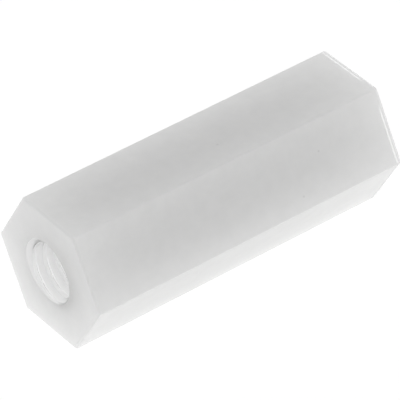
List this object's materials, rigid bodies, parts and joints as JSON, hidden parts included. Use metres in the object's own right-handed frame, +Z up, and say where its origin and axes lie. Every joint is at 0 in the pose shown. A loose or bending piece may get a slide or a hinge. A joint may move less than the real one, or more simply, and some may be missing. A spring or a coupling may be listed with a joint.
{
  "type": "hex standoff",
  "caption": "Hexagonal plastic standoff with a threaded hole along its axis, which holds a circuit board or panel at a fixed distance.",
  "frame": {"origin": "on the surface that the standoff lies on, under the middle of its body", "axes": "+X along the bore, from one end to the other; +Y towards a corner of the hexagon; +Z up, square to the flat that it lies on"},
  "size_m": [0.015, 0.0064, 0.0055],
  "materials": {
    "natural_polyamide": "natural milky polyamide, slightly see-through, smooth and satin"
  },
  "bodies": {
    "root": {"standoff": "natural_polyamide"}
  },
  "joints": []
}
